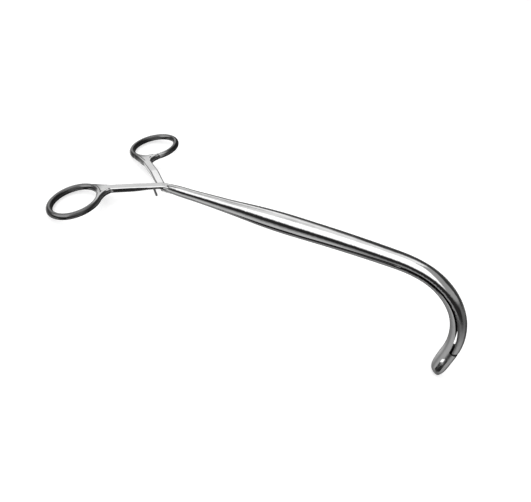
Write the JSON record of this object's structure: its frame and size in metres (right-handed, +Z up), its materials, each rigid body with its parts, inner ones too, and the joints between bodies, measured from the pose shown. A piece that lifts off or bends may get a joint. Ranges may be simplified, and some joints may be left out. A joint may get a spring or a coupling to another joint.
{
  "type": "kidney stone forceps",
  "caption": "Long curved kidney stone forceps with oval finger rings, crossed shanks, a tapered two-part shaft and fenestrated jaws turned down at the end.",
  "frame": {"origin": "on the table, under the middle of the part's box as it lies at rest", "axes": "+X from the finger rings towards the curved end, +Y to the left-hand ring, +Z up from the table"},
  "size_m": [0.2238, 0.1106, 0.057],
  "materials": {
    "forged_steel": "polished shaft and shanks, satin rings and jaws",
    "screw_steel": "polished",
    "pin_steel": "dark satin"
  },
  "bodies": {
    "upper_body": {"upper_branch": "forged_steel", "pivot_screw": "screw_steel", "shank_pin": "pin_steel"},
    "lower_body": {"lower_branch": "forged_steel"}
  },
  "joints": [
    {"name": "pivot", "type": "hinge", "parent": "upper_body", "child": "lower_body", "pos_m": [-0.06945, 0, 0.01302], "axis": [0.2848, 0, -0.9586], "range_deg": [0, 15]}
  ]
}
